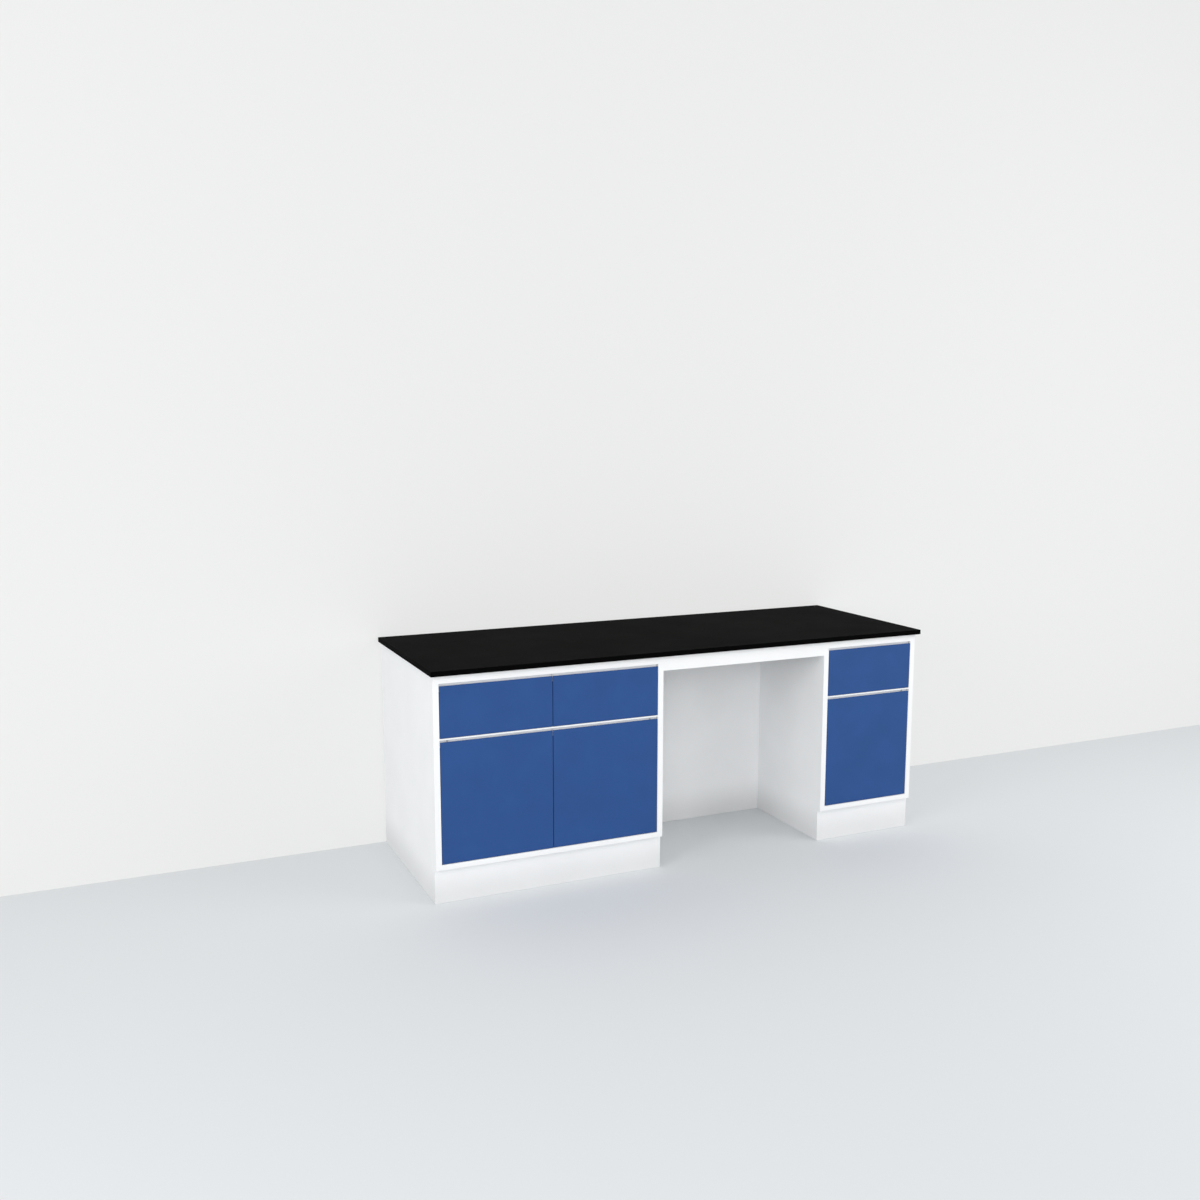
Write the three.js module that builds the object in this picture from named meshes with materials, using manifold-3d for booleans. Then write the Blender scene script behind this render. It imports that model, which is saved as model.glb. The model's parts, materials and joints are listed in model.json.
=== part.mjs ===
// Laboratory bench: one worktop over two cabinets with a sitting space between them.
// Millimetres, +Z up. The front faces -Y. The origin is on the floor, under the middle of the worktop.

import * as THREE from 'three';
import { mergeVertices } from 'three/addons/utils/BufferGeometryUtils.js';
import Module from 'manifold-3d';

const wasm = await Module();
wasm.setup();

// Worktop
const benchWidth = 2100;
const benchDepth = 750;
const benchHeight = 855;
const worktopThickness = 19;

// Where the cabinets stand under the worktop
const leftOverhang = 10;
const leftCabinetWidth = 900;
const kneeWidth = 725;
const rightCabinetWidth = 450;
const frontOverhang = 17;
const rearOverhang = 8;

// Boards of the cabinet boxes
const sideThickness = 22;
const boardThickness = 18;
const plinthHeight = 129;
const bottomTop = 149;
const shelfTop = 384;
const shelfSetback = 58;

// Glued-up face frame, whose stiles are as wide as the side boards behind them
const frameThickness = 18;
const drawerOpeningBottom = 609.5;
const drawerOpeningTop = 807;
const doorOpeningTop = 604.5;

// Drawer and door fronts, flush in the face frame
const sideReveal = 2;
const pairGap = 2.5;
const frontThickness = 18;
const drawerFrontBottom = 611;
const drawerFrontTop = 798;
const doorFrontBottom = 151;
const doorFrontTop = 596;

// Finger pull: an angle profile in a rebate behind a thin lip at the top of each front
const lipThickness = 4;
const pullRebateDepth = 20;
const pullWall = 1.5;
const pullBackFace = 12;
const pullRise = 8;

// Rail behind the face frame, between drawers and doors, with a block that the doors close on
const drawerRailHeight = 19.5;
const stopBlockWidth = 60;
const stopBlockDrop = 48.5;

// One-piece sheet-steel drawer tray
const traySheet = 1.5;
const trayBottom = 632;
const trayHeight = 120;
const trayDepth = 520;

// Full-extension slide: three nested channels on each side of a tray
const slideLength = 500;
const slideThickness = 12.5;
const slideSheet = 1.5;
const slideInset = 2;
const slideHeight = 692;
const outerChannel = { half: 23, web: 0, reach: 9.5 };
const middleChannel = { half: 21, web: 2, reach: 11 };
const innerChannel = { half: 19, web: 11, reach: 4 };

// Door pivots: steel pins near the hinge edge, top and bottom
const pinRadius = 2.5;
const pinClearance = 0.25;
const pinFromEdge = 28;
const pinFromFace = 8;
const bottomPinLow = 135;
const bottomPinHigh = 171;
const topPinLow = 560;
const topPinHigh = 609;
const pinSides = 24;
const overcut = 1;

// Sitting space
const apronHeight = 57;
const kneePanelSetback = 497;

// Values that follow from those above
const worktopUnderside = benchHeight - worktopThickness;
const leftCabinetX = -benchWidth / 2 + leftOverhang;
const kneeX = leftCabinetX + leftCabinetWidth;
const rightCabinetX = kneeX + kneeWidth;
const frameFront = -benchDepth / 2 + frontOverhang;
const cabinetDepth = benchDepth - frontOverhang - rearOverhang;
const backFace = cabinetDepth - boardThickness;
const bottomUnderside = bottomTop - boardThickness;
const drawerRailTop = doorOpeningTop + drawerRailHeight;

// Finishes
const whiteBoard = { color: 0xeef0f1, roughness: 0.5, metalness: 0 };
const blueFront = { color: 0x30548c, roughness: 0.45, metalness: 0 };
const blackTop = { color: 0x1b1c1b, roughness: 0.55, metalness: 0 };
const whiteMetal = { color: 0xf2f3f4, roughness: 0.4, metalness: 0 };
const zincSteel = { color: 0xb4b8bb, roughness: 0.35, metalness: 1 };

const bench = new THREE.Group();

// Adds one named mesh, with a material of its own, to a group.
function piece(group, name, geometry, finish, position = [0, 0, 0]) {
  const mesh = new THREE.Mesh(geometry, new THREE.MeshStandardMaterial(finish));
  mesh.name = name;
  mesh.position.set(...position);
  group.add(mesh);
}

// A nested group at a place in its parent.
function groupAt(parent, x, y, z) {
  const group = new THREE.Group();
  group.position.set(x, y, z);
  parent.add(group);
  return group;
}

// A box with its low corner at the origin.
function block(width, depth, height) {
  return new THREE.BoxGeometry(width, depth, height).translate(width / 2, depth / 2, height / 2);
}

// An upright round bar that stands on the given height at a place in plan.
function bar(radius, x, y, low, high) {
  const length = high - low;
  const geometry = new THREE.CylinderGeometry(radius, radius, length, pinSides);
  return geometry.rotateX(Math.PI / 2).translate(x, y, low + length / 2);
}

function shapeOf(points) {
  return new THREE.Shape(points.map(([a, b]) => new THREE.Vector2(a, b)));
}

// Outline in x and z, run back along +Y.
function runBack(shape, depth) {
  const geometry = new THREE.ExtrudeGeometry(shape, { depth, bevelEnabled: false });
  return geometry.rotateX(Math.PI / 2).translate(0, depth, 0);
}

// Outline in y and z, run sideways along +X.
function runSideways(points, length) {
  const geometry = new THREE.ExtrudeGeometry(shapeOf(points), { depth: length, bevelEnabled: false });
  const alongY = new THREE.Vector3(0, 1, 0);
  const alongZ = new THREE.Vector3(0, 0, 1);
  const alongX = new THREE.Vector3(1, 0, 0);
  return geometry.applyMatrix4(new THREE.Matrix4().makeBasis(alongY, alongZ, alongX));
}

function toSolid(geometry) {
  const bare = geometry.clone();
  bare.deleteAttribute('normal');
  bare.deleteAttribute('uv');
  const merged = mergeVertices(bare);
  const vertProperties = new Float32Array(merged.attributes.position.array);
  const triVerts = new Uint32Array(merged.index.array);
  return new wasm.Manifold(new wasm.Mesh({ numProp: 3, vertProperties, triVerts }));
}

function toGeometry(solid) {
  const mesh = solid.getMesh();
  const geometry = new THREE.BufferGeometry();
  geometry.setAttribute('position', new THREE.BufferAttribute(mesh.vertProperties, 3));
  geometry.setIndex(new THREE.BufferAttribute(mesh.triVerts, 1));
  geometry.computeVertexNormals();
  return geometry;
}

function cut(geometry, ...tools) {
  return toGeometry(tools.reduce((solid, tool) => solid.subtract(toSolid(tool)), toSolid(geometry)));
}

function join(geometry, ...others) {
  return toGeometry(others.reduce((solid, other) => solid.add(toSolid(other)), toSolid(geometry)));
}

function pinHole(x, low, high) {
  return bar(pinRadius + pinClearance, x, pinFromFace, low, high);
}

// Face frame: two stiles, three rails, an opening for the drawers and one for the doors.
function faceFrame(width, pivots) {
  const opening = (low, high) => new THREE.Path([
    new THREE.Vector2(sideThickness, low),
    new THREE.Vector2(sideThickness, high),
    new THREE.Vector2(width - sideThickness, high),
    new THREE.Vector2(width - sideThickness, low),
  ]);
  const outline = shapeOf([
    [0, plinthHeight], [width, plinthHeight], [width, worktopUnderside], [0, worktopUnderside],
  ]);
  outline.holes.push(opening(bottomTop, doorOpeningTop));
  outline.holes.push(opening(drawerOpeningBottom, drawerOpeningTop));
  const holes = pivots.flatMap((x) => [
    pinHole(x, bottomPinLow, bottomTop + overcut),
    pinHole(x, doorOpeningTop - overcut, drawerOpeningBottom + overcut),
  ]);
  return cut(runBack(outline, frameThickness), ...holes);
}

// Front panel, with the rebate for the pull along the back of its top edge.
function frontPanel(width, height) {
  const rebate = height - pullRebateDepth;
  return runSideways([
    [0, 0], [frontThickness, 0], [frontThickness, rebate],
    [lipThickness, rebate], [lipThickness, height], [0, height],
  ], width);
}

// Pull profile: a base in the rebate and a back wall that rises above the lip.
function pullProfile(width, height) {
  const base = height - pullRebateDepth;
  const floor = base + pullWall;
  const top = height + pullRise;
  const back = pullBackFace + pullWall;
  return runSideways([
    [lipThickness, base], [back, base], [back, top],
    [pullBackFace, top], [pullBackFace, floor], [lipThickness, floor],
  ], width);
}

// Channel of a slide: a web, and a flange above and below it. Web and reach are distances from the cabinet
// board towards the tray, which lies on one side of the board or the other.
function channel({ half, web, reach }, towardsTray) {
  const opensToTray = reach > web;
  const outside = opensToTray ? web : web + slideSheet;
  const inside = opensToTray ? web + slideSheet : web;
  const outline = [
    [outside, -half], [reach, -half], [reach, slideSheet - half], [inside, slideSheet - half],
    [inside, half - slideSheet], [reach, half - slideSheet], [reach, half], [outside, half],
  ];
  return runBack(shapeOf(outline.map(([u, z]) => [u * towardsTray, z])), slideLength);
}

// Drawer: front, pull, tray and a three-channel slide on each side. Bay is the clear space for it.
function drawer(cabinet, name, front, bay) {
  const height = drawerFrontTop - drawerFrontBottom;
  const face = groupAt(cabinet, front.x, 0, drawerFrontBottom);
  piece(face, `${name}_front`, frontPanel(front.width, height), blueFront);
  piece(face, `${name}_pull`, pullProfile(front.width, height), whiteMetal);

  const trayWidth = bay.width - 2 * slideThickness;
  const hollow = block(trayWidth - 2 * traySheet, trayDepth - 2 * traySheet, trayHeight);
  hollow.translate(traySheet, traySheet, traySheet);
  const tray = cut(block(trayWidth, trayDepth, trayHeight), hollow);
  piece(cabinet, `${name}_tray`, tray, whiteMetal, [bay.x + slideThickness, frontThickness, trayBottom]);

  const sides = [
    { side: 'left', x: bay.x, towardsTray: 1 },
    { side: 'right', x: bay.x + bay.width, towardsTray: -1 },
  ];
  for (const { side, x, towardsTray } of sides) {
    const slide = groupAt(cabinet, x, frameThickness + slideInset, slideHeight);
    piece(slide, `${name}_slide_outer_${side}`, channel(outerChannel, towardsTray), zincSteel);
    piece(slide, `${name}_slide_middle_${side}`, channel(middleChannel, towardsTray), zincSteel);
    piece(slide, `${name}_slide_inner_${side}`, channel(innerChannel, towardsTray), zincSteel);
  }
}

// Door: panel, pull and two pivot pins. The pivot is measured across the cabinet.
function door(cabinet, name, front, pivot) {
  const height = doorFrontTop - doorFrontBottom;
  const face = groupAt(cabinet, front.x, 0, doorFrontBottom);
  const holeX = pivot - front.x;
  const lowHole = pinHole(holeX, -overcut, bottomPinHigh - doorFrontBottom);
  const highHole = pinHole(holeX, topPinLow - doorFrontBottom, height);
  piece(face, `${name}_panel`, cut(frontPanel(front.width, height), lowHole, highHole), blueFront);
  piece(face, `${name}_pull`, cut(pullProfile(front.width, height), highHole), whiteMetal);
  const bottomPin = bar(pinRadius, pivot, pinFromFace, bottomPinLow, bottomPinHigh);
  piece(cabinet, `${name}_bottom_pin`, bottomPin, zincSteel);
  const topPin = bar(pinRadius, pivot, pinFromFace, topPinLow, topPinHigh);
  piece(cabinet, `${name}_top_pin`, topPin, zincSteel);
}

// Cabinet box and face frame. Local x runs across it, y runs back from its front, z is up from the floor.
function cabinetBox(name, x, width, sideNames, pivots, stopX) {
  const cabinet = groupAt(bench, x, frameFront, 0);
  const clear = width - 2 * sideThickness;
  const carcassDepth = cabinetDepth - frameThickness;
  const inside = sideThickness;

  for (const [index, sideName] of sideNames.entries()) {
    const side = block(sideThickness, carcassDepth, worktopUnderside);
    const sideX = index * (width - sideThickness);
    piece(cabinet, `${name}_${sideName}_side`, side, whiteBoard, [sideX, frameThickness, 0]);
  }
  piece(cabinet, `${name}_face_frame`, faceFrame(width, pivots), whiteBoard);

  const bottom = block(clear, carcassDepth, boardThickness);
  piece(cabinet, `${name}_bottom`, bottom, whiteBoard, [inside, frameThickness, bottomUnderside]);
  const back = block(clear, boardThickness, worktopUnderside - bottomTop);
  piece(cabinet, `${name}_back`, back, whiteBoard, [inside, backFace, bottomTop]);
  const shelf = block(clear, backFace - shelfSetback, boardThickness);
  piece(cabinet, `${name}_shelf`, shelf, whiteBoard, [inside, shelfSetback, shelfTop - boardThickness]);
  const plinth = block(clear, boardThickness, bottomUnderside);
  piece(cabinet, `${name}_plinth`, plinth, whiteBoard, [inside, frameThickness, 0]);

  const rail = block(clear, boardThickness, drawerRailHeight);
  const stop = block(stopBlockWidth, boardThickness, stopBlockDrop + drawerRailHeight);
  stop.translate(stopX - inside, 0, -stopBlockDrop);
  const railPlace = [inside, frameThickness, doorOpeningTop];
  piece(cabinet, `${name}_drawer_rail`, join(rail, stop), whiteBoard, railPlace);
  return cabinet;
}

// Worktop
const worktop = block(benchWidth, benchDepth, worktopThickness);
piece(bench, 'worktop', worktop, blackTop, [-benchWidth / 2, -benchDepth / 2, worktopUnderside]);

// Left cabinet: two drawers over a pair of doors
const pairX = sideThickness + sideReveal;
const pairWidth = (leftCabinetWidth - 2 * pairX - pairGap) / 2;
const leftFront = { x: pairX, width: pairWidth };
const middleFront = { x: pairX + pairWidth + pairGap, width: pairWidth };
const leftPivot = pairX + pinFromEdge;
const middlePivot = leftCabinetWidth - pairX - pinFromEdge;
const leftStop = (leftCabinetWidth - stopBlockWidth) / 2;
const leftCabinet = cabinetBox(
  'left_cabinet', leftCabinetX, leftCabinetWidth, ['outer', 'inner'], [leftPivot, middlePivot], leftStop,
);

const partition = block(boardThickness, backFace - frameThickness, worktopUnderside - drawerRailTop);
const partitionX = (leftCabinetWidth - boardThickness) / 2;
const partitionPlace = [partitionX, frameThickness, drawerRailTop];
piece(leftCabinet, 'left_cabinet_partition', partition, whiteBoard, partitionPlace);

const bayWidth = partitionX - sideThickness;
drawer(leftCabinet, 'left_drawer', leftFront, { x: sideThickness, width: bayWidth });
drawer(leftCabinet, 'middle_drawer', middleFront, { x: partitionX + boardThickness, width: bayWidth });
door(leftCabinet, 'left_door', leftFront, leftPivot);
door(leftCabinet, 'middle_door', middleFront, middlePivot);

// Right cabinet: one drawer over one door
const rightFront = { x: pairX, width: rightCabinetWidth - 2 * pairX };
const rightPivot = rightCabinetWidth - pairX - pinFromEdge;
const rightCabinet = cabinetBox(
  'right_cabinet', rightCabinetX, rightCabinetWidth, ['inner', 'outer'], [rightPivot], sideThickness,
);
const rightBay = { x: sideThickness, width: rightCabinetWidth - 2 * sideThickness };
drawer(rightCabinet, 'right_drawer', rightFront, rightBay);
door(rightCabinet, 'right_door', rightFront, rightPivot);

// Sitting space: an apron flush with the face frames and a panel that closes the back
const apron = block(kneeWidth, frameThickness, apronHeight);
piece(bench, 'knee_apron', apron, whiteBoard, [kneeX, frameFront, worktopUnderside - apronHeight]);
const kneePanel = block(kneeWidth, boardThickness, worktopUnderside);
piece(bench, 'knee_back_panel', kneePanel, whiteBoard, [kneeX, kneePanelSetback - benchDepth / 2, 0]);

export default bench;
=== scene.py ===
import json
import math

import bmesh
import bpy
from bpy.props import FloatProperty, FloatVectorProperty, PointerProperty
from bpy.types import Operator, Panel, PropertyGroup
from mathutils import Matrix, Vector


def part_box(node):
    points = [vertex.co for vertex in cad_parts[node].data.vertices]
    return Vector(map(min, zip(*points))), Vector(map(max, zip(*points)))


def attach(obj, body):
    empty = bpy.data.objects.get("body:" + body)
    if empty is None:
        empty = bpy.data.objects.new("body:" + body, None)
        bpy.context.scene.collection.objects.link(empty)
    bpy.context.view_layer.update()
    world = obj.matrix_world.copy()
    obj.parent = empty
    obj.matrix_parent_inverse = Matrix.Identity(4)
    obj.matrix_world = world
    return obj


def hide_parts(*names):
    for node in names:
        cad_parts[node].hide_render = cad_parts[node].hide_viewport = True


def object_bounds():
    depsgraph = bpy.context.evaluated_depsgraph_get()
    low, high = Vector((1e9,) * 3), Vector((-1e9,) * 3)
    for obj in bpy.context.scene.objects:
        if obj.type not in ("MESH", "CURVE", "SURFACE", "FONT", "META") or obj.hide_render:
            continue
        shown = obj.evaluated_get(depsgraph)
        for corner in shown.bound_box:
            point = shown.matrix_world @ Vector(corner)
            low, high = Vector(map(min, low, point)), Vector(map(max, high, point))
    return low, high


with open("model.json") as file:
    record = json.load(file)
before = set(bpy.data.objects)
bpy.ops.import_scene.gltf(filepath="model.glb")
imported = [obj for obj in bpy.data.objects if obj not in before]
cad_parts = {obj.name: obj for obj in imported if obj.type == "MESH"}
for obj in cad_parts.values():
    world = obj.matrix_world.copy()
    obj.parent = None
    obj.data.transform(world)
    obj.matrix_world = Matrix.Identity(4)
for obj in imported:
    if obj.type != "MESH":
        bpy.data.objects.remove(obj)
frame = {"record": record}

bl_info = {
    "name": "Laboratory bench",
    "version": (1, 0, 0),
    "blender": (4, 5, 0),
    "location": "View3D > Sidebar > Bench",
    "description": "Models the boards, fronts, drawers and doors of a laboratory bench on its packed frame",
    "category": "Object",
}

CAD_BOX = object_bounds()
BODY_OF = {node: body for body, nodes in frame["record"]["behaviour"]["bodies"].items() for node in nodes}
SLOT_OF = {row["node"]: row["material_slot"] for row in frame["record"]["subparts"]}
DRAWERS = ("left_drawer", "middle_drawer", "right_drawer")
DOORS_OF = {"left_cabinet": ("left_door", "middle_door"), "right_cabinet": ("right_door",)}
DOORS = tuple(door for doors in DOORS_OF.values() for door in doors)
DOOR_PINS = ("_bottom_pin", "_top_pin")
FIXING_SLOT = "zinc_steel"
AXES = {"x": Vector((1, 0, 0)), "y": Vector((0, 1, 0)), "z": Vector((0, 0, 1))}

# Sizes are in metres, and places are in the frame of the bench.
MM = 0.001
# Two places that are closer than this are the same.
SAME_PLACE = 0.02 * MM
# A face looks along an axis when its normal has this much of it.
FACING = 0.9
# An edge is sharp above the first angle, and shaded smooth below the second.
SHARP_ANGLE = math.radians(30)
SMOOTH_ANGLE = math.radians(40)
# Steps in a rounding: of an eased edge, of a fold in sheet, and of a tray's upright corner.
EASE_STEPS = 3
FOLD_STEPS = 4
CORNER_STEPS = 6
# Sides of a rod or drill: a door's pin, a small fixing, and a shelf hole.
ROD_SIDES = 32
FIXING_SIDES = 24
HOLE_SIDES = 16

# Rows of shelf holes, and the pins in them.
SHELF_HOLE_ROWS = (-250 * MM, 290 * MM)
SHELF_HOLE_STEP = 32 * MM
SHELF_HOLES_EACH_WAY = 3
SHELF_HOLE_DEPTH = 12 * MM
SHELF_PIN_RADIUS = 2.5 * MM
SHELF_PIN_PLAY = 0.05 * MM
SHELF_PIN_LENGTH = 20 * MM
SHELF_PIN_ROUNDING = 0.8 * MM

# Rail under the drawers, and where the block that the doors close on starts and ends.
RAIL_HEIGHT = 19.5 * MM
DOOR_STOPS = {"left_cabinet": (-620 * MM, -560 * MM), "right_cabinet": (607 * MM, 667 * MM)}

# Face frame: width of its uprights, and the heights of the openings for the doors and the drawers.
STILE = 22 * MM
OPENINGS = ((149 * MM, 604.5 * MM), (609.5 * MM, 807 * MM))

# Fronts, and the folded pull in the rebate behind a front's lip.
FRONT_LIP = 4 * MM
PULL_REBATE = 20 * MM
PULL_SHEET = 1.5 * MM
PULL_FOLD = 1.2 * MM
PULL_EDGE = 0.25 * MM

# Trays: the fold round the bottom, and how far the rim is turned down.
TRAY_FOLD = 3 * MM
TRAY_LIP = 6 * MM

# Slide channels: the side on which each is open, its sheet, and its holes at shares of its length.
CHANNELS = (("outer", 1), ("middle", 1), ("inner", -1))
SLIDE_SHEET = 1.5 * MM
SLIDE_FOLD = 2 * MM
SLIDE_HOLES = (0.08, 0.34, 0.66, 0.92)
SLIDE_HOLE_RADIUS = 3.2 * MM
SLIDE_DRILL = 8 * MM

# Pivot pins of the doors.
PIN_PLAY = 0.25 * MM
PIN_ROUNDING = 0.6 * MM

# Tray screws: a pan head with a cross recess, at shares of the side walls and of the front wall.
SCREW_RADIUS = 4 * MM
SCREW_RISE = 2.2 * MM
SCREW_ROUNDING = 1.4 * MM
RECESS_LENGTH = 4.4 * MM
RECESS_WIDTH = 0.9 * MM
RECESS_FLOOR = 0.9 * MM
SCREW_HEIGHT = 19 * MM
SIDE_SCREWS = (0.1, 0.5, 0.9)
FRONT_SCREWS = (0.2, 0.8)

# Stage: width of its floor and wall, and their gaps to the bench.
ROOM = 60.0
FLOOR_GAP = 0.2 * MM
WALL_GAP = 0.5 * MM
# Share of its colour that the floor throws back, and share of the wall that shines by itself.
FLOOR_BOUNCE = 0.8
WALL_GLOW = 0.65
# Strength of the light from all round.
ROOM_LIGHT = 0.75
# Lamps: name, place, width in metres and power in watts.
LAMPS = (
    ("soft_left", (-5.8, -3.2, 2.4), 3.0, 94.0),
    ("soft_front", (-4.0, -8.0, 2.2), 3.6, 164.0),
    ("soft_right", (3.6, -3.2, 2.4), 3.0, 60.0),
)
LAMP_AIM = Vector((0, 0, 0.45))
# Camera: it looks down and to the right of straight on, in degrees. Its lens and sensor are in millimetres.
CAMERA_PLACE = (-2.17309, -4.30716, 1.70480)
CAMERA_DOWN = 8.4054
CAMERA_RIGHT = 24.1459
CAMERA_LENS = 35.9532
CAMERA_SENSOR = 36


def linear(hex_colour):
    """Turns an sRGB hex colour into the linear values that Blender works with."""
    shares = [int(hex_colour[i:i + 2], 16) / 255 for i in (0, 2, 4)]
    return tuple(s / 12.92 if s <= 0.04045 else ((s + 0.055) / 1.055) ** 2.4 for s in shares)


def shade(colour, share):
    """The same colour, lighter or darker, with full opacity for a socket."""
    return (*(min(1.0, value * share) for value in colour), 1.0)


class BenchSizes(PropertyGroup):
    """Small sizes of the finished pieces that the frame's boxes don't give."""

    worktop_edge: FloatProperty(
        name="Worktop edge", description="Radius of the worktop's eased edges",
        default=1.5 * MM, min=0.2 * MM, max=6 * MM, unit="LENGTH", precision=5)
    board_edge: FloatProperty(
        name="Board edge", description="Radius of the edge bands of the white boards",
        default=0.4 * MM, min=0.1 * MM, max=2 * MM, unit="LENGTH", precision=5)
    front_edge: FloatProperty(
        name="Front edge", description="Radius of the edge bands of the blue fronts",
        default=0.8 * MM, min=0.1 * MM, max=1.2 * MM, unit="LENGTH", precision=5)
    tray_sheet: FloatProperty(
        name="Tray sheet", description="Thickness of the drawer tray's sheet",
        default=1.5 * MM, min=0.7 * MM, max=1.5 * MM, unit="LENGTH", precision=5)
    tray_corner: FloatProperty(
        name="Tray corner", description="Radius of the drawer tray's upright corners",
        default=10 * MM, min=9 * MM, max=20 * MM, unit="LENGTH", precision=5)
    tray_rim: FloatProperty(
        name="Tray rim", description="Width of the drawer tray's folded rim",
        default=7 * MM, min=3 * MM, max=8 * MM, unit="LENGTH", precision=5)


class BenchColours(PropertyGroup):
    """Colours of the bench's finishes and of the stage."""

    white_board: FloatVectorProperty(
        name="White board", description="Carcass, face frame, apron and panels",
        subtype="COLOR", size=3, min=0, max=1, default=linear("f5f6f7"))
    blue_front: FloatVectorProperty(
        name="Blue front", description="Drawer fronts and doors",
        subtype="COLOR", size=3, min=0, max=1, default=linear("2a4f8a"))
    black_worktop: FloatVectorProperty(
        name="Black worktop", description="Worktop",
        subtype="COLOR", size=3, min=0, max=1, default=linear("050505"))
    white_metal: FloatVectorProperty(
        name="White metal", description="Finger pulls and drawer trays",
        subtype="COLOR", size=3, min=0, max=1, default=linear("f2f4f6"))
    zinc_steel: FloatVectorProperty(
        name="Zinc steel", description="Slides, pivot pins, screws and shelf pins",
        subtype="COLOR", size=3, min=0, max=1, default=linear("c9cdd0"))
    floor: FloatVectorProperty(
        name="Floor", description="Floor under the bench",
        subtype="COLOR", size=3, min=0, max=1, default=linear("e0e3e5"))
    wall: FloatVectorProperty(
        name="Wall", description="Wall behind the bench",
        subtype="COLOR", size=3, min=0, max=1, default=linear("e5e6e5"))
    background: FloatVectorProperty(
        name="Background", description="Background beyond the floor and the wall",
        subtype="COLOR", size=3, min=0, max=1, default=linear("eeefee"))


def add_node(tree, kind, settings=None, links=None):
    """Adds a node.

    settings gives socket values and attributes by name. links gives a (node, output) pair for each input,
    by its name or, where names repeat, by its number.
    """
    node = tree.nodes.new(kind)
    for name, value in (settings or {}).items():
        if name in node.inputs:
            node.inputs[name].default_value = value
        else:
            setattr(node, name, value)
    for socket, (source, output) in (links or {}).items():
        tree.links.new(source.outputs[output], node.inputs[socket])
    return node


def new_material(name):
    """An empty node material and its tree."""
    material = bpy.data.materials.new(name)
    material.use_nodes = True
    material.node_tree.nodes.clear()
    return material, material.node_tree


def colour_stops(ramp, *stops):
    """Sets a ramp's stops from (place, colour) pairs."""
    for element, (place, colour) in zip(ramp.color_ramp.elements, stops):
        element.position = place
        element.color = colour


def melamine_board(name, colour):
    """White melamine-faced chipboard, pressed under a pearl plate.

    The eye gets an even, slightly cool white with a soft broken sheen and no grain.
    """
    material, tree = new_material(name)
    place = add_node(tree, "ShaderNodeTexCoord")
    # Paper and resin vary over a hand's width, 180 mm.
    cloud = add_node(tree, "ShaderNodeTexNoise", {"Scale": 1 / (180 * MM), "Detail": 3.0},
                     {"Vector": (place, "Object")})
    tint = add_node(tree, "ShaderNodeValToRGB", links={"Fac": (cloud, "Fac")})
    colour_stops(tint, (0.35, shade(colour, 0.985)), (0.65, shade(colour, 1.01)))
    # Painted shade near the floor: the colour darkens smoothly over the lowest 150 mm, so the plinths are a
    # shade greyer than the frames.
    height = add_node(tree, "ShaderNodeSeparateXYZ", links={"Vector": (place, "Object")})
    floor_shade = add_node(tree, "ShaderNodeMapRange",
                    {"interpolation_type": "SMOOTHSTEP", "From Min": 10 * MM, "From Max": 150 * MM,
                     "To Min": 0.84, "To Max": 1.0}, {"Value": (height, "Z")})
    # Painted shade: the tint is multiplied by the darkening towards the floor.
    shaded_tint = add_node(tree, "ShaderNodeVectorMath", {"operation": "SCALE"},
                    {"Vector": (tint, "Color"), "Scale": (floor_shade, "Result")})
    # The pearl is 0.8 mm across. It is drawn at 3 mm, so that it shows at all in a picture of the bench.
    pearl = add_node(tree, "ShaderNodeTexNoise", {"Scale": 1 / (3 * MM), "Detail": 2.0, "Roughness": 0.4},
                     {"Vector": (place, "Object")})
    sheen = add_node(tree, "ShaderNodeMapRange", {"To Min": 0.46, "To Max": 0.6},
                     {"Value": (pearl, "Fac")})
    relief = add_node(tree, "ShaderNodeBump", {"Strength": 0.12, "Distance": 0.1 * MM},
                      {"Height": (pearl, "Fac")})
    shader = add_node(tree, "ShaderNodeBsdfPrincipled", {"IOR": 1.5, "Specular IOR Level": 0.3},
                      {"Base Color": (shaded_tint, "Vector"), "Roughness": (sheen, "Result"),
                       "Normal": (relief, "Normal")})
    add_node(tree, "ShaderNodeOutputMaterial", links={"Surface": (shader, "BSDF")})
    return material


def blue_laminate(name, colour):
    """Blue high-pressure laminate with a satin plate finish.

    The eye gets one deep blue that is broken up by a faint speckle and a wide, weak highlight.
    """
    material, tree = new_material(name)
    place = add_node(tree, "ShaderNodeTexCoord")
    # The printed layer varies over 120 mm.
    cloud = add_node(tree, "ShaderNodeTexNoise", {"Scale": 1 / (120 * MM), "Detail": 4.0},
                     {"Vector": (place, "Object")})
    tint = add_node(tree, "ShaderNodeValToRGB", links={"Fac": (cloud, "Fac")})
    colour_stops(tint, (0.3, shade(colour, 0.95)), (0.7, shade(colour, 1.05)))
    # The satin plate's dimples are 0.5 mm across. They are drawn at 2.5 mm to show.
    dimples = add_node(tree, "ShaderNodeTexNoise", {"Scale": 1 / (2.5 * MM), "Detail": 2.0},
                       {"Vector": (place, "Object")})
    sheen = add_node(tree, "ShaderNodeMapRange", {"To Min": 0.5, "To Max": 0.64},
                     {"Value": (dimples, "Fac")})
    relief = add_node(tree, "ShaderNodeBump", {"Strength": 0.12, "Distance": 0.1 * MM},
                      {"Height": (dimples, "Fac")})
    shader = add_node(tree, "ShaderNodeBsdfPrincipled", {"IOR": 1.5, "Specular IOR Level": 0.2},
                      {"Base Color": (tint, "Color"), "Roughness": (sheen, "Result"),
                       "Normal": (relief, "Normal")})
    add_node(tree, "ShaderNodeOutputMaterial", links={"Surface": (shader, "BSDF")})
    return material


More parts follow.
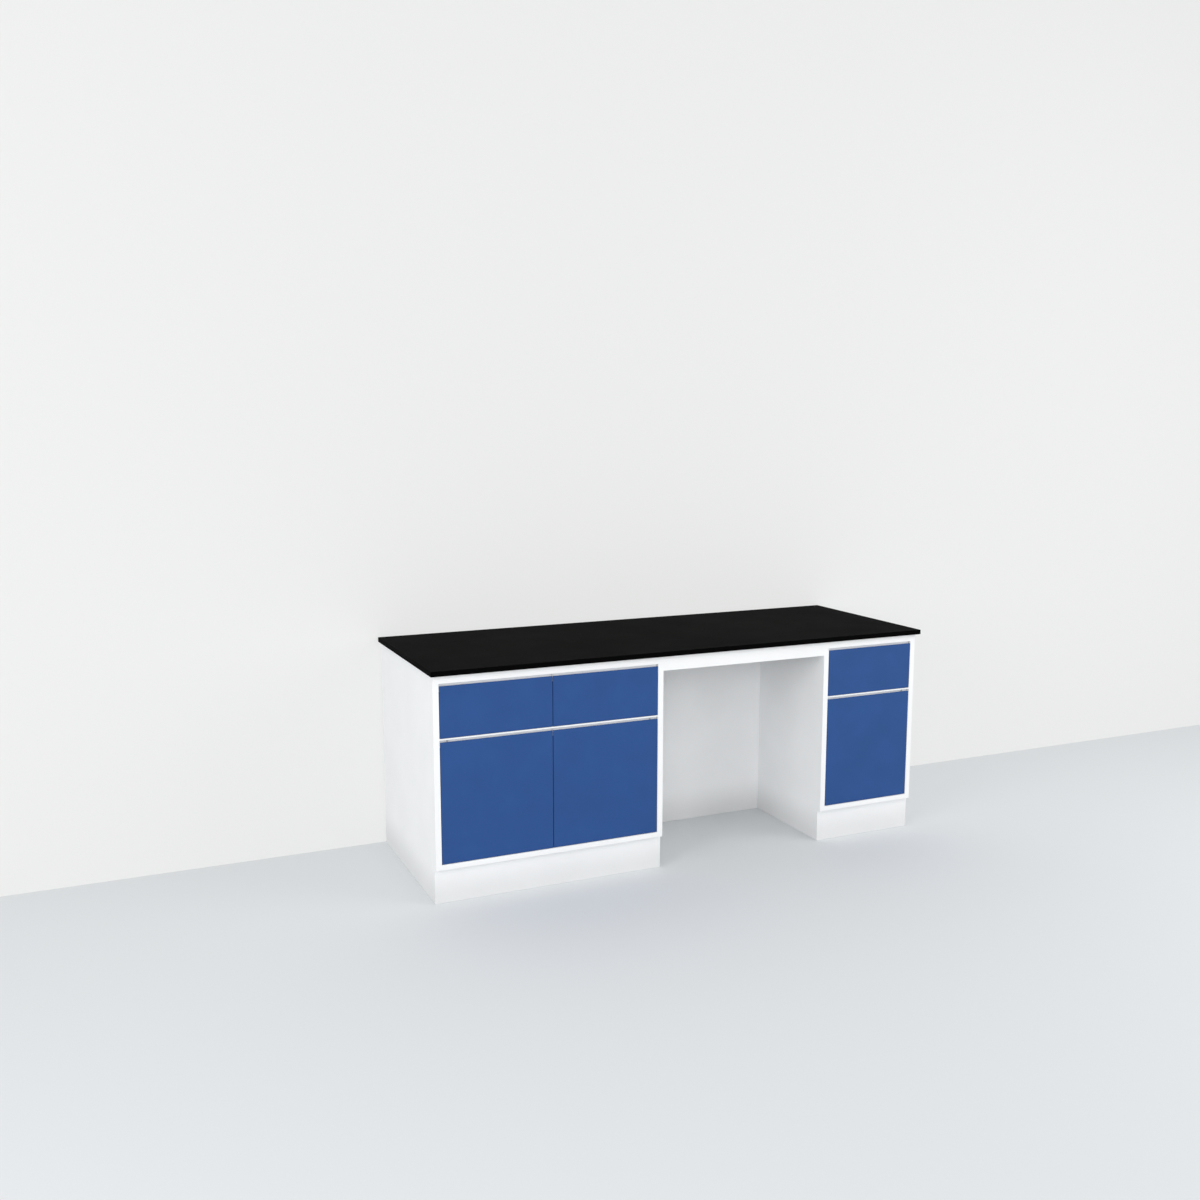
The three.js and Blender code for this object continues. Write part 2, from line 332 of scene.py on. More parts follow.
def phenolic_slab(name, colour):
    """Black solid phenolic laminate with a crystal-textured face.

    The eye gets a dead matt black that turns charcoal where it is seen flat, with a very fine tooth.
    """
    material, tree = new_material(name)
    place = add_node(tree, "ShaderNodeTexCoord")
    # Rubbed and cleaned patches are about 250 mm wide.
    patches = add_node(tree, "ShaderNodeTexNoise", {"Scale": 1 / (250 * MM), "Detail": 4.0},
                       {"Vector": (place, "Object")})
    tint = add_node(tree, "ShaderNodeValToRGB", links={"Fac": (patches, "Fac")})
    colour_stops(tint, (0.3, shade(colour, 0.88)), (0.7, shade(colour, 1.12)))
    # The crystal texture has 0.6 mm peaks. They are drawn at 2.5 mm to show.
    tooth = add_node(tree, "ShaderNodeTexVoronoi", {"Scale": 1 / (2.5 * MM)}, {"Vector": (place, "Object")})
    sheen = add_node(tree, "ShaderNodeMapRange", {"To Min": 0.62, "To Max": 0.8},
                     {"Value": (patches, "Fac")})
    relief = add_node(tree, "ShaderNodeBump", {"Strength": 0.15, "Distance": 0.1 * MM},
                      {"Height": (tooth, "Distance")})
    shader = add_node(tree, "ShaderNodeBsdfPrincipled", {"IOR": 1.5, "Specular IOR Level": 0.015},
                      {"Base Color": (tint, "Color"), "Roughness": (sheen, "Result"),
                       "Normal": (relief, "Normal")})
    add_node(tree, "ShaderNodeOutputMaterial", links={"Surface": (shader, "BSDF")})
    return material


def powder_coat(name, colour):
    """White powder-coated steel sheet.

    The eye gets a clean white with the shallow orange peel of a baked coat.
    """
    material, tree = new_material(name)
    place = add_node(tree, "ShaderNodeTexCoord")
    # Orange peel is 2 mm across, and is drawn at 3 mm to show.
    peel = add_node(tree, "ShaderNodeTexNoise", {"Scale": 1 / (3 * MM), "Detail": 1.0},
                    {"Vector": (place, "Object")})
    tint = add_node(tree, "ShaderNodeValToRGB", links={"Fac": (peel, "Fac")})
    colour_stops(tint, (0.3, shade(colour, 0.98)), (0.7, shade(colour, 1.01)))
    sheen = add_node(tree, "ShaderNodeMapRange", {"To Min": 0.36, "To Max": 0.46},
                     {"Value": (peel, "Fac")})
    relief = add_node(tree, "ShaderNodeBump", {"Strength": 0.15, "Distance": 0.1 * MM},
                      {"Height": (peel, "Fac")})
    shader = add_node(tree, "ShaderNodeBsdfPrincipled", {"IOR": 1.5, "Specular IOR Level": 0.4},
                      {"Base Color": (tint, "Color"), "Roughness": (sheen, "Result"),
                       "Normal": (relief, "Normal")})
    add_node(tree, "ShaderNodeOutputMaterial", links={"Surface": (shader, "BSDF")})
    return material


def zinc_plate(name, colour):
    """Zinc-plated steel strip, rolled lengthways.

    The eye gets a bright bluish grey with rolling streaks along the channel and a cloudy gloss.
    """
    material, tree = new_material(name)
    place = add_node(tree, "ShaderNodeTexCoord")
    # Rolling streaks are 1 mm apart and about 60 mm long, along Y.
    along = add_node(tree, "ShaderNodeMapping", {"Scale": (1.0, 1 / 60, 1.0)}, {"Vector": (place, "Object")})
    streaks = add_node(tree, "ShaderNodeTexNoise", {"Scale": 1 / (1 * MM), "Detail": 3.0},
                       {"Vector": (along, "Vector")})
    # The plating's crystals cloud over 12 mm.
    cloud = add_node(tree, "ShaderNodeTexNoise", {"Scale": 1 / (12 * MM), "Detail": 2.0},
                     {"Vector": (place, "Object")})
    tint = add_node(tree, "ShaderNodeValToRGB", links={"Fac": (cloud, "Fac")})
    colour_stops(tint, (0.3, shade(colour, 0.9)), (0.7, shade(colour, 1.06)))
    sheen = add_node(tree, "ShaderNodeMapRange", {"To Min": 0.28, "To Max": 0.46},
                     {"Value": (streaks, "Fac")})
    relief = add_node(tree, "ShaderNodeBump", {"Strength": 0.1, "Distance": 0.05 * MM},
                      {"Height": (streaks, "Fac")})
    shader = add_node(tree, "ShaderNodeBsdfPrincipled", {"Metallic": 1.0},
                      {"Base Color": (tint, "Color"), "Roughness": (sheen, "Result"),
                       "Normal": (relief, "Normal")})
    add_node(tree, "ShaderNodeOutputMaterial", links={"Surface": (shader, "BSDF")})
    return material


FINISHES = {
    "white_board": ("melamine_faced_board_white", melamine_board),
    "blue_front": ("high_pressure_laminate_blue", blue_laminate),
    "black_worktop": ("solid_phenolic_black", phenolic_slab),
    "white_metal": ("powder_coated_steel_white", powder_coat),
    "zinc_steel": ("zinc_plated_steel", zinc_plate),
}


def finish_of(slot):
    """The material of one of the record's slots, made at its first use."""
    name, make = FINISHES[slot]
    return bpy.data.materials.get(name) or make(name, getattr(bpy.context.scene.bench_colours, slot))


def deselect_all():
    """Leaves edit mode and deselects every object."""
    if bpy.context.object and bpy.context.object.mode != "OBJECT":
        bpy.ops.object.mode_set(mode="OBJECT")
    bpy.ops.object.select_all(action="DESELECT")


def take(piece):
    """Makes a piece the only selected and the active one."""
    deselect_all()
    piece.select_set(True)
    bpy.context.view_layer.objects.active = piece


def throw_away(piece):
    """Deletes a tool or a pattern piece."""
    take(piece)
    bpy.ops.object.delete()


def corners(node):
    """A node's lowest and highest corner at rest."""
    low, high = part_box(node)
    return Vector(low), Vector(high)


def start_block(low, high):
    """Adds a cube that fills the box from low to high, in edit mode."""
    deselect_all()
    low, high = Vector(low), Vector(high)
    bpy.ops.mesh.primitive_cube_add(size=1, location=(low + high) / 2, scale=high - low)
    bpy.ops.object.transform_apply(location=True, rotation=True, scale=True)
    bpy.ops.object.mode_set(mode="EDIT")
    return bpy.context.object


def start_rod(middle, radius, length, axis, sides=ROD_SIDES):
    """Adds a cylinder along x or z, in edit mode."""
    deselect_all()
    turn = {"x": (0, math.pi / 2, 0), "z": (0, 0, 0)}[axis]
    bpy.ops.mesh.primitive_cylinder_add(vertices=sides, radius=radius, depth=length,
                                        location=middle, rotation=turn)
    bpy.ops.object.transform_apply(location=True, rotation=True, scale=True)
    bpy.ops.object.mode_set(mode="EDIT")
    return bpy.context.object


def pick(kind, wanted):
    """Selects the faces or edges of the mesh in edit mode for which wanted is true."""
    bpy.ops.mesh.select_mode(type=kind)
    bpy.ops.mesh.select_all(action="DESELECT")
    mesh = bpy.context.object.data
    shape = bmesh.from_edit_mesh(mesh)
    for part in shape.faces if kind == "FACE" else shape.edges:
        part.select_set(wanted(part))
    bmesh.update_edit_mesh(mesh)


def looks(face, axis, way=1):
    """True for a face that looks along an axis, or against it where way is -1."""
    return face.normal.dot(AXES[axis]) * way > FACING


def sharp(edge):
    """True for an edge between two faces that meet at a corner."""
    return edge.calc_face_angle(0.0) > SHARP_ANGLE


def upright(edge):
    """True for an edge whose ends are at different heights."""
    return abs(edge.verts[0].co.z - edge.verts[1].co.z) > SAME_PLACE


def edge_on(edge, axis, value):
    """True for an edge that lies in the plane where the axis has that value."""
    return all(abs(getattr(corner.co, axis) - value) < SAME_PLACE for corner in edge.verts)


def cut(axis, value):
    """Cuts the mesh in edit mode by the plane where the axis has that value, and keeps both sides."""
    bpy.ops.mesh.select_all(action="SELECT")
    bpy.ops.mesh.bisect(plane_co=AXES[axis] * value, plane_no=AXES[axis])


def remove_faces(wanted):
    """Deletes the faces of the mesh in edit mode for which wanted is true."""
    pick("FACE", wanted)
    bpy.ops.mesh.delete(type="FACE")


def extrude_faces(wanted, shift):
    """Extrudes the faces of the mesh in edit mode for which wanted is true."""
    pick("FACE", wanted)
    bpy.ops.mesh.extrude_region_move(TRANSFORM_OT_translate={"value": shift})


def round_edges(wanted, radius, steps=EASE_STEPS):
    """Rounds the edges of the mesh in edit mode for which wanted is true."""
    pick("EDGE", wanted)
    bpy.ops.mesh.bevel(offset=radius, segments=steps, affect="EDGES")


def ease(radius, leave=()):
    """Rounds the sharp edges of the mesh in edit mode, apart from those in the planes of leave."""
    round_edges(lambda edge: sharp(edge) and not any(edge_on(edge, *plane) for plane in leave), radius)


def eased_board(low, high, radius, leave=()):
    """Models a plain board with eased edges."""
    board = start_block(low, high)
    ease(radius, leave)
    return board


def thicken(piece, sheet):
    """Gives a bent sheet its thickness, towards the inside."""
    take(piece)
    wall = piece.modifiers.new("sheet", "SOLIDIFY")
    wall.thickness = sheet
    wall.offset = -1
    wall.use_even_offset = True
    bpy.ops.object.modifier_apply(modifier=wall.name)


def carve(piece, tool):
    """Takes the shape of a tool out of a piece."""
    take(piece)
    hollow = piece.modifiers.new("hollow", "BOOLEAN")
    hollow.object = tool
    hollow.operation = "DIFFERENCE"
    hollow.solver = "EXACT"
    bpy.ops.object.modifier_apply(modifier=hollow.name)
    throw_away(tool)


def bore(piece, middle, radius, length, axis, sides=ROD_SIDES):
    """Drills a round hole with a drill of that length about its middle."""
    carve(piece, start_rod(middle, radius, length, axis, sides))


def bore_for_pin(piece, pin):
    """Drills the hole of a door's pivot pin, with its play."""
    low, high = corners(pin)
    bore(piece, (low + high) / 2, (high.x - low.x) / 2 + PIN_PLAY, high.z - low.z + 2 * PIN_PLAY, "z")


def copy_by(piece, shift, mirrored=False, turn=0.0):
    """Copies a modelled piece with its own mesh and moves the copy.

    A mirrored copy is turned over in x within its box first, and one with a turn is turned about z.
    """
    take(piece)
    bpy.ops.object.duplicate(linked=False)
    twin = bpy.context.object
    places = [corner.co.x for corner in twin.data.vertices]
    bpy.ops.object.mode_set(mode="EDIT")
    bpy.ops.mesh.select_all(action="SELECT")
    if mirrored:
        middle = (min(places) + max(places)) / 2
        bpy.ops.transform.resize(value=(-1, 1, 1), center_override=(middle, 0, 0))
        bpy.ops.mesh.flip_normals()
    if turn:
        bpy.ops.transform.rotate(value=turn, orient_axis="Z", center_override=(0, 0, 0))
    bpy.ops.transform.translate(value=shift)
    bpy.ops.object.mode_set(mode="OBJECT")
    return twin


def same_size(first, second):
    """True where two nodes fill boxes of the same size."""
    (low_a, high_a), (low_b, high_b) = corners(first), corners(second)
    return ((high_a - low_a) - (high_b - low_b)).length < SAME_PLACE


def model_each(nodes, model):
    """Models the first node of each size and copies it for the others of that size."""
    made = {}
    for node in nodes:
        like = next((other for other in made if same_size(node, other)), None)
        if like:
            made[node] = copy_by(made[like], corners(node)[0] - corners(like)[0])
        else:
            made[node] = model(*corners(node))
    return made


def join(pieces):
    """Makes one piece of several."""
    take(pieces[0])
    for piece in pieces:
        piece.select_set(True)
    bpy.ops.object.join()
    return pieces[0]


def dress(piece, name, slot):
    """Names a modelled piece, shades its roundings smooth and gives it the finish of a slot."""
    take(piece)
    piece.name = name
    piece.data.name = name
    bpy.ops.object.shade_smooth_by_angle(angle=SMOOTH_ANGLE)
    piece.data.materials.clear()
    piece.data.materials.append(finish_of(slot))


def hand_over(piece, name, node):
    """Finishes a modelled piece and puts it in place of the node that it stands for."""
    dress(piece, name, SLOT_OF[node])
    # Large faces keep their own normals, so that they don't shade into their roundings.
    flat = piece.modifiers.new("flat_faces", "WEIGHTED_NORMAL")
    flat.keep_sharp = True
    bpy.ops.object.modifier_apply(modifier=flat.name)
    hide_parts(node)
    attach(piece, BODY_OF[node])


def hand_over_fixing(piece, name, body):
    """Finishes small fasteners that have no node of their own."""
    dress(piece, name, FIXING_SLOT)
    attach(piece, body)


def shelf_pin_height():
    """Height of the shelf pins' middle, just under the shelf."""
    return corners("left_cabinet_shelf")[0].z - SHELF_PIN_RADIUS


class BENCH_OT_worktop(Operator):
    """Model the black worktop with its eased edges"""

    bl_idname = "bench.worktop"
    bl_label = "Worktop"

    def execute(self, context):
        slab = eased_board(*corners("worktop"), context.scene.bench_sizes.worktop_edge)
        hand_over(slab, "worktop_slab", "worktop")
        return {"FINISHED"}


class BENCH_OT_sides(Operator):
    """Model a cabinet side with its two rows of shelf holes, and copy it for the other sides"""

    bl_idname = "bench.sides"
    bl_label = "Cabinet sides"

    def execute(self, context):
        first = "left_cabinet_outer_side"
        low, high = corners(first)
        # The front meets the face frame, so its edges stay sharp.
        board = eased_board(low, high, context.scene.bench_sizes.board_edge, leave=[("y", low.y)])
        for y in SHELF_HOLE_ROWS:
            for step in range(-SHELF_HOLES_EACH_WAY, SHELF_HOLES_EACH_WAY + 1):
                mouth = (high.x, y, shelf_pin_height() + step * SHELF_HOLE_STEP)
                bore(board, mouth, SHELF_PIN_RADIUS, 2 * SHELF_HOLE_DEPTH, "x", HOLE_SIDES)
        made = {first: board}
        for node, mirrored in (("left_cabinet_inner_side", True), ("right_cabinet_inner_side", False),
                               ("right_cabinet_outer_side", True)):
            made[node] = copy_by(board, corners(node)[0] - low, mirrored)
        for node, piece in made.items():
            hand_over(piece, node + "_board", node)
        return {"FINISHED"}


class BENCH_OT_boards(Operator):
    """Model the bottoms, backs, shelves, plinths, partition, apron and back panel"""

    bl_idname = "bench.boards"
    bl_label = "Carcass boards"

    def execute(self, context):
        edge = context.scene.bench_sizes.board_edge

        def fitted_between(low, high):
            # Both ends meet another board in plain sight, so their edges stay sharp.
            return eased_board(low, high, edge, leave=[("x", low.x), ("x", high.x)])

        def eased_all_round(low, high):
            return eased_board(low, high, edge)

        groups = (
            (fitted_between, ("knee_apron", "left_cabinet_plinth", "right_cabinet_plinth")),
            (eased_all_round, ("left_cabinet_bottom", "left_cabinet_back", "left_cabinet_shelf",
                               "left_cabinet_partition", "right_cabinet_bottom", "right_cabinet_back",
                               "right_cabinet_shelf", "knee_back_panel")),
        )
        for model, nodes in groups:
            for node, board in model_each(nodes, model).items():
                hand_over(board, node + "_board", node)
        return {"FINISHED"}


class BENCH_OT_drawer_rails(Operator):
    """Model the rails under the drawers, with the block that the doors close on"""

    bl_idname = "bench.drawer_rails"
    bl_label = "Drawer rails"

    def execute(self, context):
        for cabinet, (start, end) in DOOR_STOPS.items():
            low, high = corners(cabinet + "_drawer_rail")
            bottom = high.z - RAIL_HEIGHT
            rail = start_block((low.x, low.y, bottom), high)
            cut("x", start)
            cut("x", end)
            extrude_faces(lambda face: looks(face, "z", -1) and start < face.calc_center_median().x < end,
                          (0, 0, low.z - bottom))
            ease(context.scene.bench_sizes.board_edge)
            hand_over(rail, cabinet + "_drawer_rail_board", cabinet + "_drawer_rail")
        return {"FINISHED"}


class BENCH_OT_face_frames(Operator):
    """Model the white frame round the fronts of each cabinet"""

    bl_idname = "bench.face_frames"
    bl_label = "Face frames"

    def execute(self, context):
        for cabinet, doors in DOORS_OF.items():
            low, high = corners(cabinet + "_face_frame")
            left, right = low.x + STILE, high.x - STILE

            def in_opening(face):
                middle = face.calc_center_median()
                return left < middle.x < right and any(bottom < middle.z < top for bottom, top in OPENINGS)

            # The back face alone is divided and opened, and then drawn out to the front.
            board = start_block(low, high)
            remove_faces(lambda face: not looks(face, "y"))
            for x in (left, right):
                cut("x", x)
            for opening in OPENINGS:
                for z in opening:
                    cut("z", z)
            remove_faces(in_opening)
            extrude_faces(lambda face: True, (0, low.y - high.y, 0))
            bpy.ops.mesh.select_all(action="SELECT")
            bpy.ops.mesh.normals_make_consistent(inside=False)
            # The back, and the side towards the sitting space, meet other boards and keep sharp edges.
            inner_side = low.x if cabinet == "right_cabinet" else high.x
            ease(context.scene.bench_sizes.board_edge, leave=[("y", high.y), ("x", inner_side)])
            for door in doors:
                for pin in DOOR_PINS:
                    bore_for_pin(board, door + pin)
            hand_over(board, cabinet + "_face_frame_board", cabinet + "_face_frame")
        return {"FINISHED"}


class BENCH_OT_fronts(Operator):
    """Model the blue drawer fronts and doors, with the rebate for the finger pull"""

    bl_idname = "bench.fronts"
    bl_label = "Drawer fronts and doors"

    def execute(self, context):
        def front(low, high):
            # The lip in front of the rebate is drawn up to the full height.
            lip = low.y + FRONT_LIP
            panel = start_block(low, (high.x, high.y, high.z - PULL_REBATE))
            cut("y", lip)
            extrude_faces(lambda face: looks(face, "z") and face.calc_center_median().y < lip,
                          (0, 0, PULL_REBATE))
            ease(context.scene.bench_sizes.front_edge)
            return panel

        for node, panel in model_each([drawer + "_front" for drawer in DRAWERS], front).items():
            hand_over(panel, node + "_laminate", node)
        for node, panel in model_each([door + "_panel" for door in DOORS], front).items():
            for pin in DOOR_PINS:
                bore_for_pin(panel, node.replace("_panel", pin))
            hand_over(panel, node + "_laminate", node)
        return {"FINISHED"}


class BENCH_OT_pulls(Operator):
    """Model the folded finger pulls along the top of the fronts"""

    bl_idname = "bench.pulls"
    bl_label = "Finger pulls"

    def execute(self, context):
        def pull(low, high):
            # A flat strip of sheet whose back edge is folded up.
            back = high.y - PULL_SHEET
            top = low.z + PULL_SHEET
            strip = start_block(low, (high.x, high.y, top))
            cut("y", back)
            extrude_faces(lambda face: looks(face, "z") and face.calc_center_median().y > back,
                          (0, 0, high.z - top))
            round_edges(lambda edge: edge_on(edge, "y", high.y) and edge_on(edge, "z", low.z),
                        PULL_FOLD, FOLD_STEPS)
            ease(PULL_EDGE)
            return strip

        for node, strip in model_each([front + "_pull" for front in DRAWERS + DOORS], pull).items():
            if node.replace("_pull", "") in DOORS:
                bore_for_pin(strip, node.replace("_pull", "_top_pin"))
            hand_over(strip, node + "_profile", node)
        return {"FINISHED"}


class BENCH_OT_trays(Operator):
    """Model the folded sheet trays of the drawers"""

    bl_idname = "bench.trays"
    bl_label = "Drawer trays"

    def execute(self, context):
        sizes = context.scene.bench_sizes

        def tray(low, high):
            shell = start_block(low, high)
            round_edges(upright, sizes.tray_corner, CORNER_STEPS)
            # The top is opened inside the rim, and the rim's inner edge is turned down.
            pick("FACE", lambda face: looks(face, "z"))
            bpy.ops.mesh.inset(thickness=sizes.tray_rim)
            bpy.ops.mesh.delete(type="FACE")
            pick("EDGE", lambda edge: edge.is_boundary)
            bpy.ops.mesh.extrude_edges_move(TRANSFORM_OT_translate={"value": (0, 0, -TRAY_LIP)})
            round_edges(lambda edge: sharp(edge) and edge_on(edge, "z", low.z), TRAY_FOLD, FOLD_STEPS)
            thicken(shell, sizes.tray_sheet)
            return shell

        for node, shell in model_each([drawer + "_tray" for drawer in DRAWERS], tray).items():
            hand_over(shell, node + "_sheet", node)
        return {"FINISHED"}


class BENCH_OT_slides(Operator):
    """Model the three rolled channels of a drawer slide and copy them to every drawer side"""

    bl_idname = "bench.slides"
    bl_label = "Drawer slides"

    def execute(self, context):
        for channel, opens in CHANNELS:
            first = "left_drawer_slide_" + channel + "_left"
            low, high = corners(first)
            rail = start_block(low, high)
            remove_faces(lambda face: looks(face, "y") or looks(face, "y", -1) or looks(face, "x", opens))
            round_edges(sharp, SLIDE_FOLD, FOLD_STEPS)
            thicken(rail, SLIDE_SHEET)
            # The fixing holes go through the web, across from the open side.
            web = low.x if opens > 0 else high.x
            for share in SLIDE_HOLES:
                middle = (web, low.y + share * (high.y - low.y), (low.z + high.z) / 2)
                bore(rail, middle, SLIDE_HOLE_RADIUS, SLIDE_DRILL, "x")
            made = {first: rail}
            for drawer in DRAWERS:
                for hand in ("left", "right"):
                    node = drawer + "_slide_" + channel + "_" + hand
                    if node != first:
                        made[node] = copy_by(rail, corners(node)[0] - low, mirrored=hand == "right")
            for node, piece in made.items():
                hand_over(piece, node + "_rolled", node)
        return {"FINISHED"}


class BENCH_OT_pivot_pins(Operator):
    """Model the doors' pivot pins with their rounded ends"""

    bl_idname = "bench.pivot_pins"
    bl_label = "Door pivot pins"

    def execute(self, context):
        def pin(low, high):
            rod = start_rod((low + high) / 2, (high.x - low.x) / 2, high.z - low.z, "z")
            round_edges(lambda edge: edge_on(edge, "z", low.z) or edge_on(edge, "z", high.z), PIN_ROUNDING)
            return rod

        for end in DOOR_PINS:
            for node, rod in model_each([door + end for door in DOORS], pin).items():
                hand_over(rod, node + "_turned", node)
        return {"FINISHED"}


class BENCH_OT_tray_screws(Operator):
    """Model the screw heads inside the drawer trays"""

    bl_idname = "bench.tray_screws"
    bl_label = "Tray screws"

    def execute(self, context):
        # The head to copy lies flat on the plane where x is 0, with its recess open past its top.
        head = start_rod((SCREW_RISE / 2, 0, 0), SCREW_RADIUS, SCREW_RISE, "x", FIXING_SIDES)
        round_edges(lambda edge: edge_on(edge, "x", SCREW_RISE), SCREW_ROUNDING)
        for wide, tall in ((RECESS_LENGTH, RECESS_WIDTH), (RECESS_WIDTH, RECESS_LENGTH)):
            carve(head, start_block((RECESS_FLOOR, -wide / 2, -tall / 2),
                                    (SCREW_RISE + MM, wide / 2, tall / 2)))
        sheet = context.scene.bench_sizes.tray_sheet
        for drawer in DRAWERS:
            low, high = corners(drawer + "_tray")
            height = corners(drawer + "_slide_inner_left")[0].z + SCREW_HEIGHT
            heads = []
            for share in SIDE_SCREWS:
                y = low.y + share * (high.y - low.y)
                heads.append(copy_by(head, (low.x + sheet, y, height)))
                heads.append(copy_by(head, (high.x - sheet - SCREW_RISE, y, height), mirrored=True))
            for share in FRONT_SCREWS:
                x = low.x + share * (high.x - low.x)
                heads.append(copy_by(head, (x, low.y + sheet, height), turn=-math.pi / 2))
            hand_over_fixing(join(heads), drawer + "_tray_screws", BODY_OF[drawer + "_tray"])
        throw_away(head)
        return {"FINISHED"}


class BENCH_OT_shelf_pins(Operator):
    """Model the pins under the shelves"""

    bl_idname = "bench.shelf_pins"
    bl_label = "Shelf pins"

    def execute(self, context):
        end = SHELF_PIN_LENGTH / 2
        pin = start_rod((0, 0, 0), SHELF_PIN_RADIUS - SHELF_PIN_PLAY, SHELF_PIN_LENGTH, "x", FIXING_SIDES)
        round_edges(lambda edge: edge_on(edge, "x", end) or edge_on(edge, "x", -end), SHELF_PIN_ROUNDING)
        for cabinet in DOORS_OF:
            low, high = corners(cabinet + "_shelf")
            places = [(x, y, shelf_pin_height()) for x in (low.x, high.x) for y in SHELF_HOLE_ROWS]
            pins = [copy_by(pin, place) for place in places]
            hand_over_fixing(join(pins), cabinet + "_shelf_pins", BODY_OF[cabinet + "_shelf"])
        throw_away(pin)
        return {"FINISHED"}


def seen_ray(tree):
    """A node that gives 1 for the rays in which the background shows: camera, gloss and transmission."""
    ray = add_node(tree, "ShaderNodeLightPath")
    either = add_node(tree, "ShaderNodeMath", {"operation": "MAXIMUM"},
                      {0: (ray, "Is Camera Ray"), 1: (ray, "Is Glossy Ray")})
    return add_node(tree, "ShaderNodeMath", {"operation": "MAXIMUM"},
                    {0: (either, "Value"), 1: (ray, "Is Transmission Ray")})


def floor_paint(colours):
    """Pale painted floor. It throws back less light than it shows, so the plinths stay shaded."""
    material, tree = new_material("painted_floor_pale")
    shown = add_node(tree, "ShaderNodeBsdfDiffuse", {"Color": shade(colours.floor, 1)})
    bounced = add_node(tree, "ShaderNodeBsdfDiffuse", {"Color": shade(colours.floor, FLOOR_BOUNCE)})
    mix = add_node(tree, "ShaderNodeMixShader",
                   links={"Fac": (seen_ray(tree), "Value"), 1: (bounced, "BSDF"), 2: (shown, "BSDF")})
    add_node(tree, "ShaderNodeOutputMaterial", links={"Surface": (mix, "Shader")})
    return material


def wall_paint(colours):
    """Pale painted wall that shows from the front. Light and the view from behind pass through it."""
    material, tree = new_material("painted_wall_pale")
    paint = add_node(tree, "ShaderNodeBsdfDiffuse", {"Color": shade(colours.wall, 1)})
    glow = add_node(tree, "ShaderNodeEmission", {"Color": shade(colours.background, 1), "Strength": 1.0})
    even = add_node(tree, "ShaderNodeMixShader", {"Fac": WALL_GLOW},
                    {1: (paint, "BSDF"), 2: (glow, "Emission")})
    clear = add_node(tree, "ShaderNodeBsdfTransparent")
    side = add_node(tree, "ShaderNodeNewGeometry")
    front = add_node(tree, "ShaderNodeMath", {"operation": "SUBTRACT", "use_clamp": True},
                     {0: (seen_ray(tree), "Value"), 1: (side, "Backfacing")})
    mix = add_node(tree, "ShaderNodeMixShader",
                   links={"Fac": (front, "Value"), 1: (clear, "BSDF"), 2: (even, "Shader")})
    add_node(tree, "ShaderNodeOutputMaterial", links={"Surface": (mix, "Shader")})
    return material


def soft_room(colours):
    """World that lights the bench evenly and shows as the pale background."""
    world = bpy.data.worlds.new("soft_room")
    world.use_nodes = True
    tree = world.node_tree
    tree.nodes.clear()
    light = add_node(tree, "ShaderNodeBackground", {"Color": (1, 1, 1, 1), "Strength": ROOM_LIGHT})
    back = add_node(tree, "ShaderNodeBackground", {"Color": shade(colours.background, 1), "Strength": 1.0})
    mix = add_node(tree, "ShaderNodeMixShader",
                   links={"Fac": (seen_ray(tree), "Value"), 1: (light, "Background"),
                          2: (back, "Background")})
    add_node(tree, "ShaderNodeOutputWorld", links={"Surface": (mix, "Shader")})
    return world


def stage_plane(name, place, turn, material):
    """Adds a wide plane of the stage."""
    deselect_all()
    bpy.ops.mesh.primitive_plane_add(size=ROOM, location=place, rotation=turn)
    bpy.ops.object.transform_apply(location=True, rotation=True, scale=True)
    plane = bpy.context.object
    plane.name = name
    plane.data.materials.append(material)


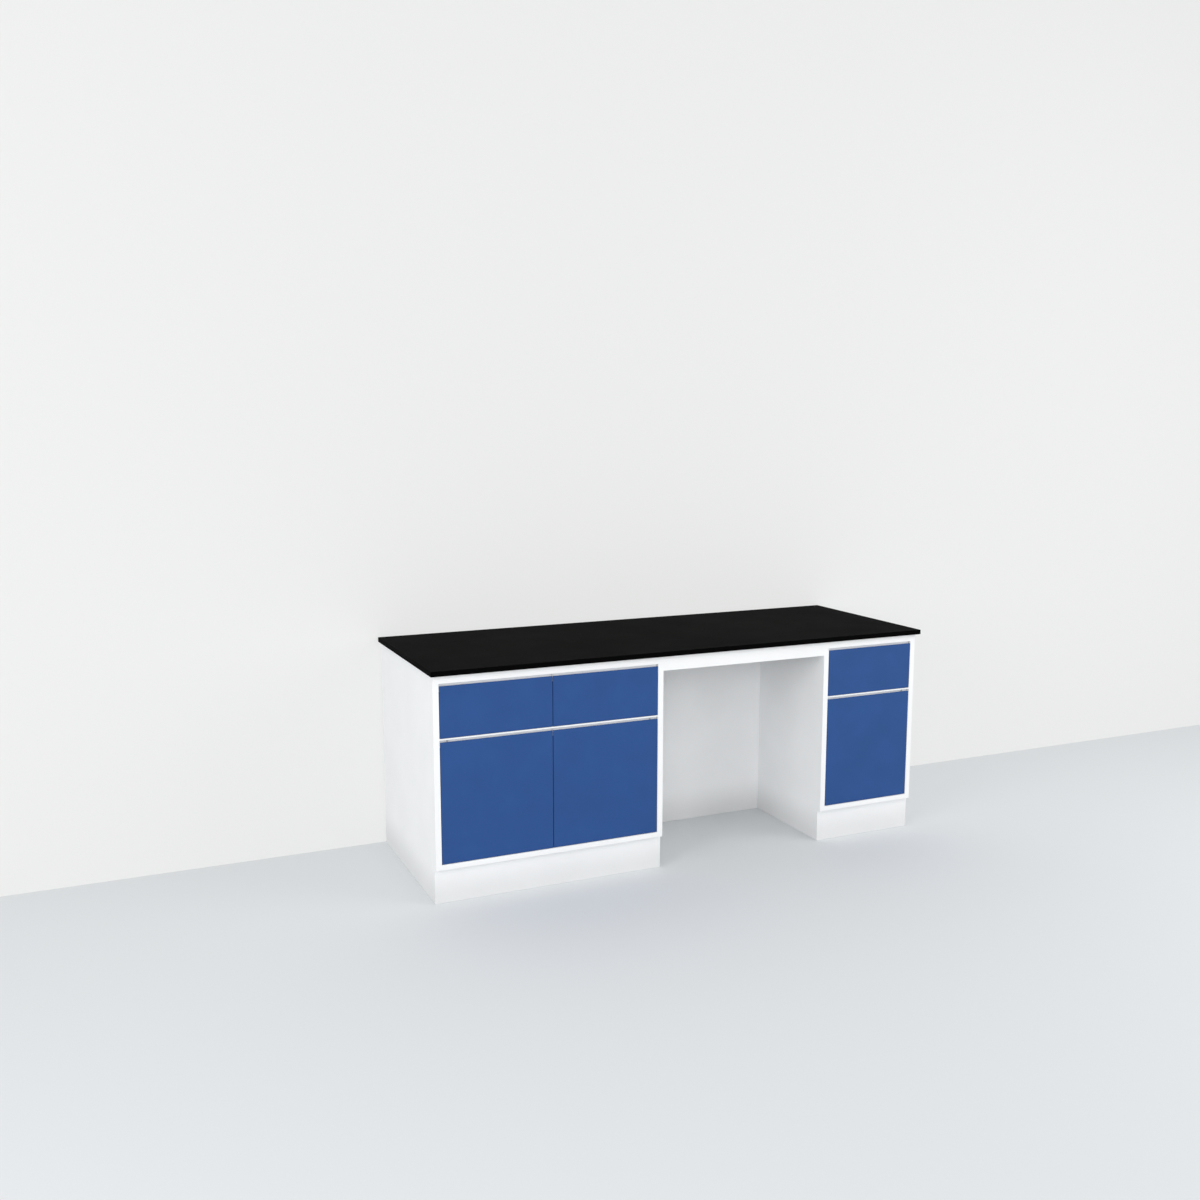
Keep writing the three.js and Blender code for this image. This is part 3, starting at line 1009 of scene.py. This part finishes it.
class BENCH_OT_stage(Operator):
    """Make the floor, the wall, the soft light and the camera"""

    bl_idname = "bench.stage"
    bl_label = "Stage"

    def execute(self, context):
        scene = context.scene
        colours = scene.bench_colours
        scene.view_settings.view_transform = "Standard"

        floor_height = CAD_BOX[0][2]
        wall_place = (0, CAD_BOX[1][1] + WALL_GAP, floor_height + ROOM / 2)
        stage_plane("stage_floor", (0, 0, floor_height - FLOOR_GAP), (0, 0, 0), floor_paint(colours))
        stage_plane("stage_wall", wall_place, (math.pi / 2, 0, 0), wall_paint(colours))

        scene.world = soft_room(colours)
        for name, place, width, power in LAMPS:
            bpy.ops.object.light_add(type="AREA", location=place)
            lamp = context.object
            lamp.name = name
            lamp.data.size = width
            lamp.data.energy = power
            lamp.rotation_euler = (LAMP_AIM - Vector(place)).to_track_quat("-Z", "Y").to_euler()

        turn = (math.radians(90 - CAMERA_DOWN), 0, math.radians(-CAMERA_RIGHT))
        bpy.ops.object.camera_add(location=CAMERA_PLACE, rotation=turn)
        camera = context.object
        camera.name = "photo_camera"
        camera.data.sensor_width = CAMERA_SENSOR
        camera.data.lens = CAMERA_LENS
        scene.camera = camera
        return {"FINISHED"}


STEPS = (
    BENCH_OT_stage,
    BENCH_OT_worktop,
    BENCH_OT_sides,
    BENCH_OT_boards,
    BENCH_OT_drawer_rails,
    BENCH_OT_face_frames,
    BENCH_OT_fronts,
    BENCH_OT_pulls,
    BENCH_OT_trays,
    BENCH_OT_slides,
    BENCH_OT_pivot_pins,
    BENCH_OT_tray_screws,
    BENCH_OT_shelf_pins,
)


class BENCH_PT_sidebar(Panel):
    """Lists the bench's pieces, sizes and colours"""

    bl_idname = "BENCH_PT_sidebar"
    bl_label = "Laboratory bench"
    bl_space_type = "VIEW_3D"
    bl_region_type = "UI"
    bl_category = "Bench"

    def draw(self, context):
        for step in STEPS:
            self.layout.operator(step.bl_idname)
        for group in (context.scene.bench_sizes, context.scene.bench_colours):
            box = self.layout.box()
            for name in group.__annotations__:
                box.prop(group, name)


CLASSES = (BenchSizes, BenchColours, *STEPS, BENCH_PT_sidebar)


def register():
    for item in CLASSES:
        bpy.utils.register_class(item)
    bpy.types.Scene.bench_sizes = PointerProperty(type=BenchSizes)
    bpy.types.Scene.bench_colours = PointerProperty(type=BenchColours)


def unregister():
    del bpy.types.Scene.bench_colours
    del bpy.types.Scene.bench_sizes
    for item in reversed(CLASSES):
        bpy.utils.unregister_class(item)


def main():
    register()
    for step in STEPS:
        group, name = step.bl_idname.split(".")
        getattr(getattr(bpy.ops, group), name)()
    deselect_all()


if __name__ == "__main__":
    main()
